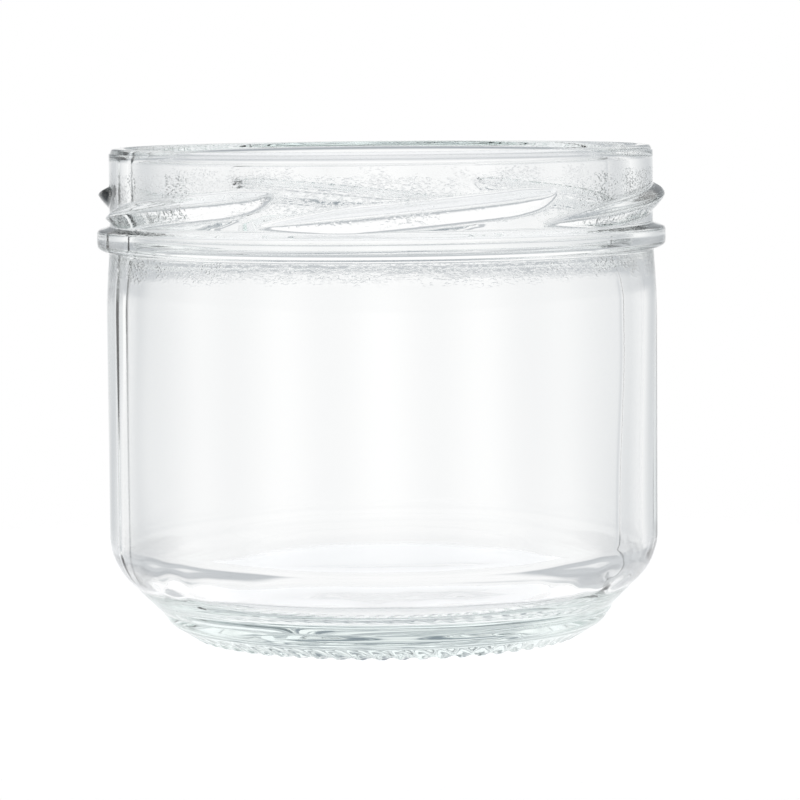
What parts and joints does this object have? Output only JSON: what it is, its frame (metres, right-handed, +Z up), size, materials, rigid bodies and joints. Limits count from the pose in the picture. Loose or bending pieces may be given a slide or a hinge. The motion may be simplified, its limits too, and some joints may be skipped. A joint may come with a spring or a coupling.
{
  "type": "preserving jar",
  "caption": "Low, wide clear glass preserving jar, open and empty, with a lug-thread neck for a twist-off cap, a transfer bead and a knurled base ring.",
  "frame": {"origin": "centre of the base, on the plane of the bearing ring that the jar stands on", "axes": "+Z up along the jar's axis, out of its mouth; -Y is the front, the side that is looked at; the body is round, so X and Y are alike apart from the thread's lugs"},
  "size_m": [0.0812, 0.081, 0.07],
  "materials": {
    "clear_glass": "smooth clear flint glass, faintly green where it is thick"
  },
  "bodies": {
    "root": {"glass_jar": "clear_glass"}
  },
  "joints": []
}
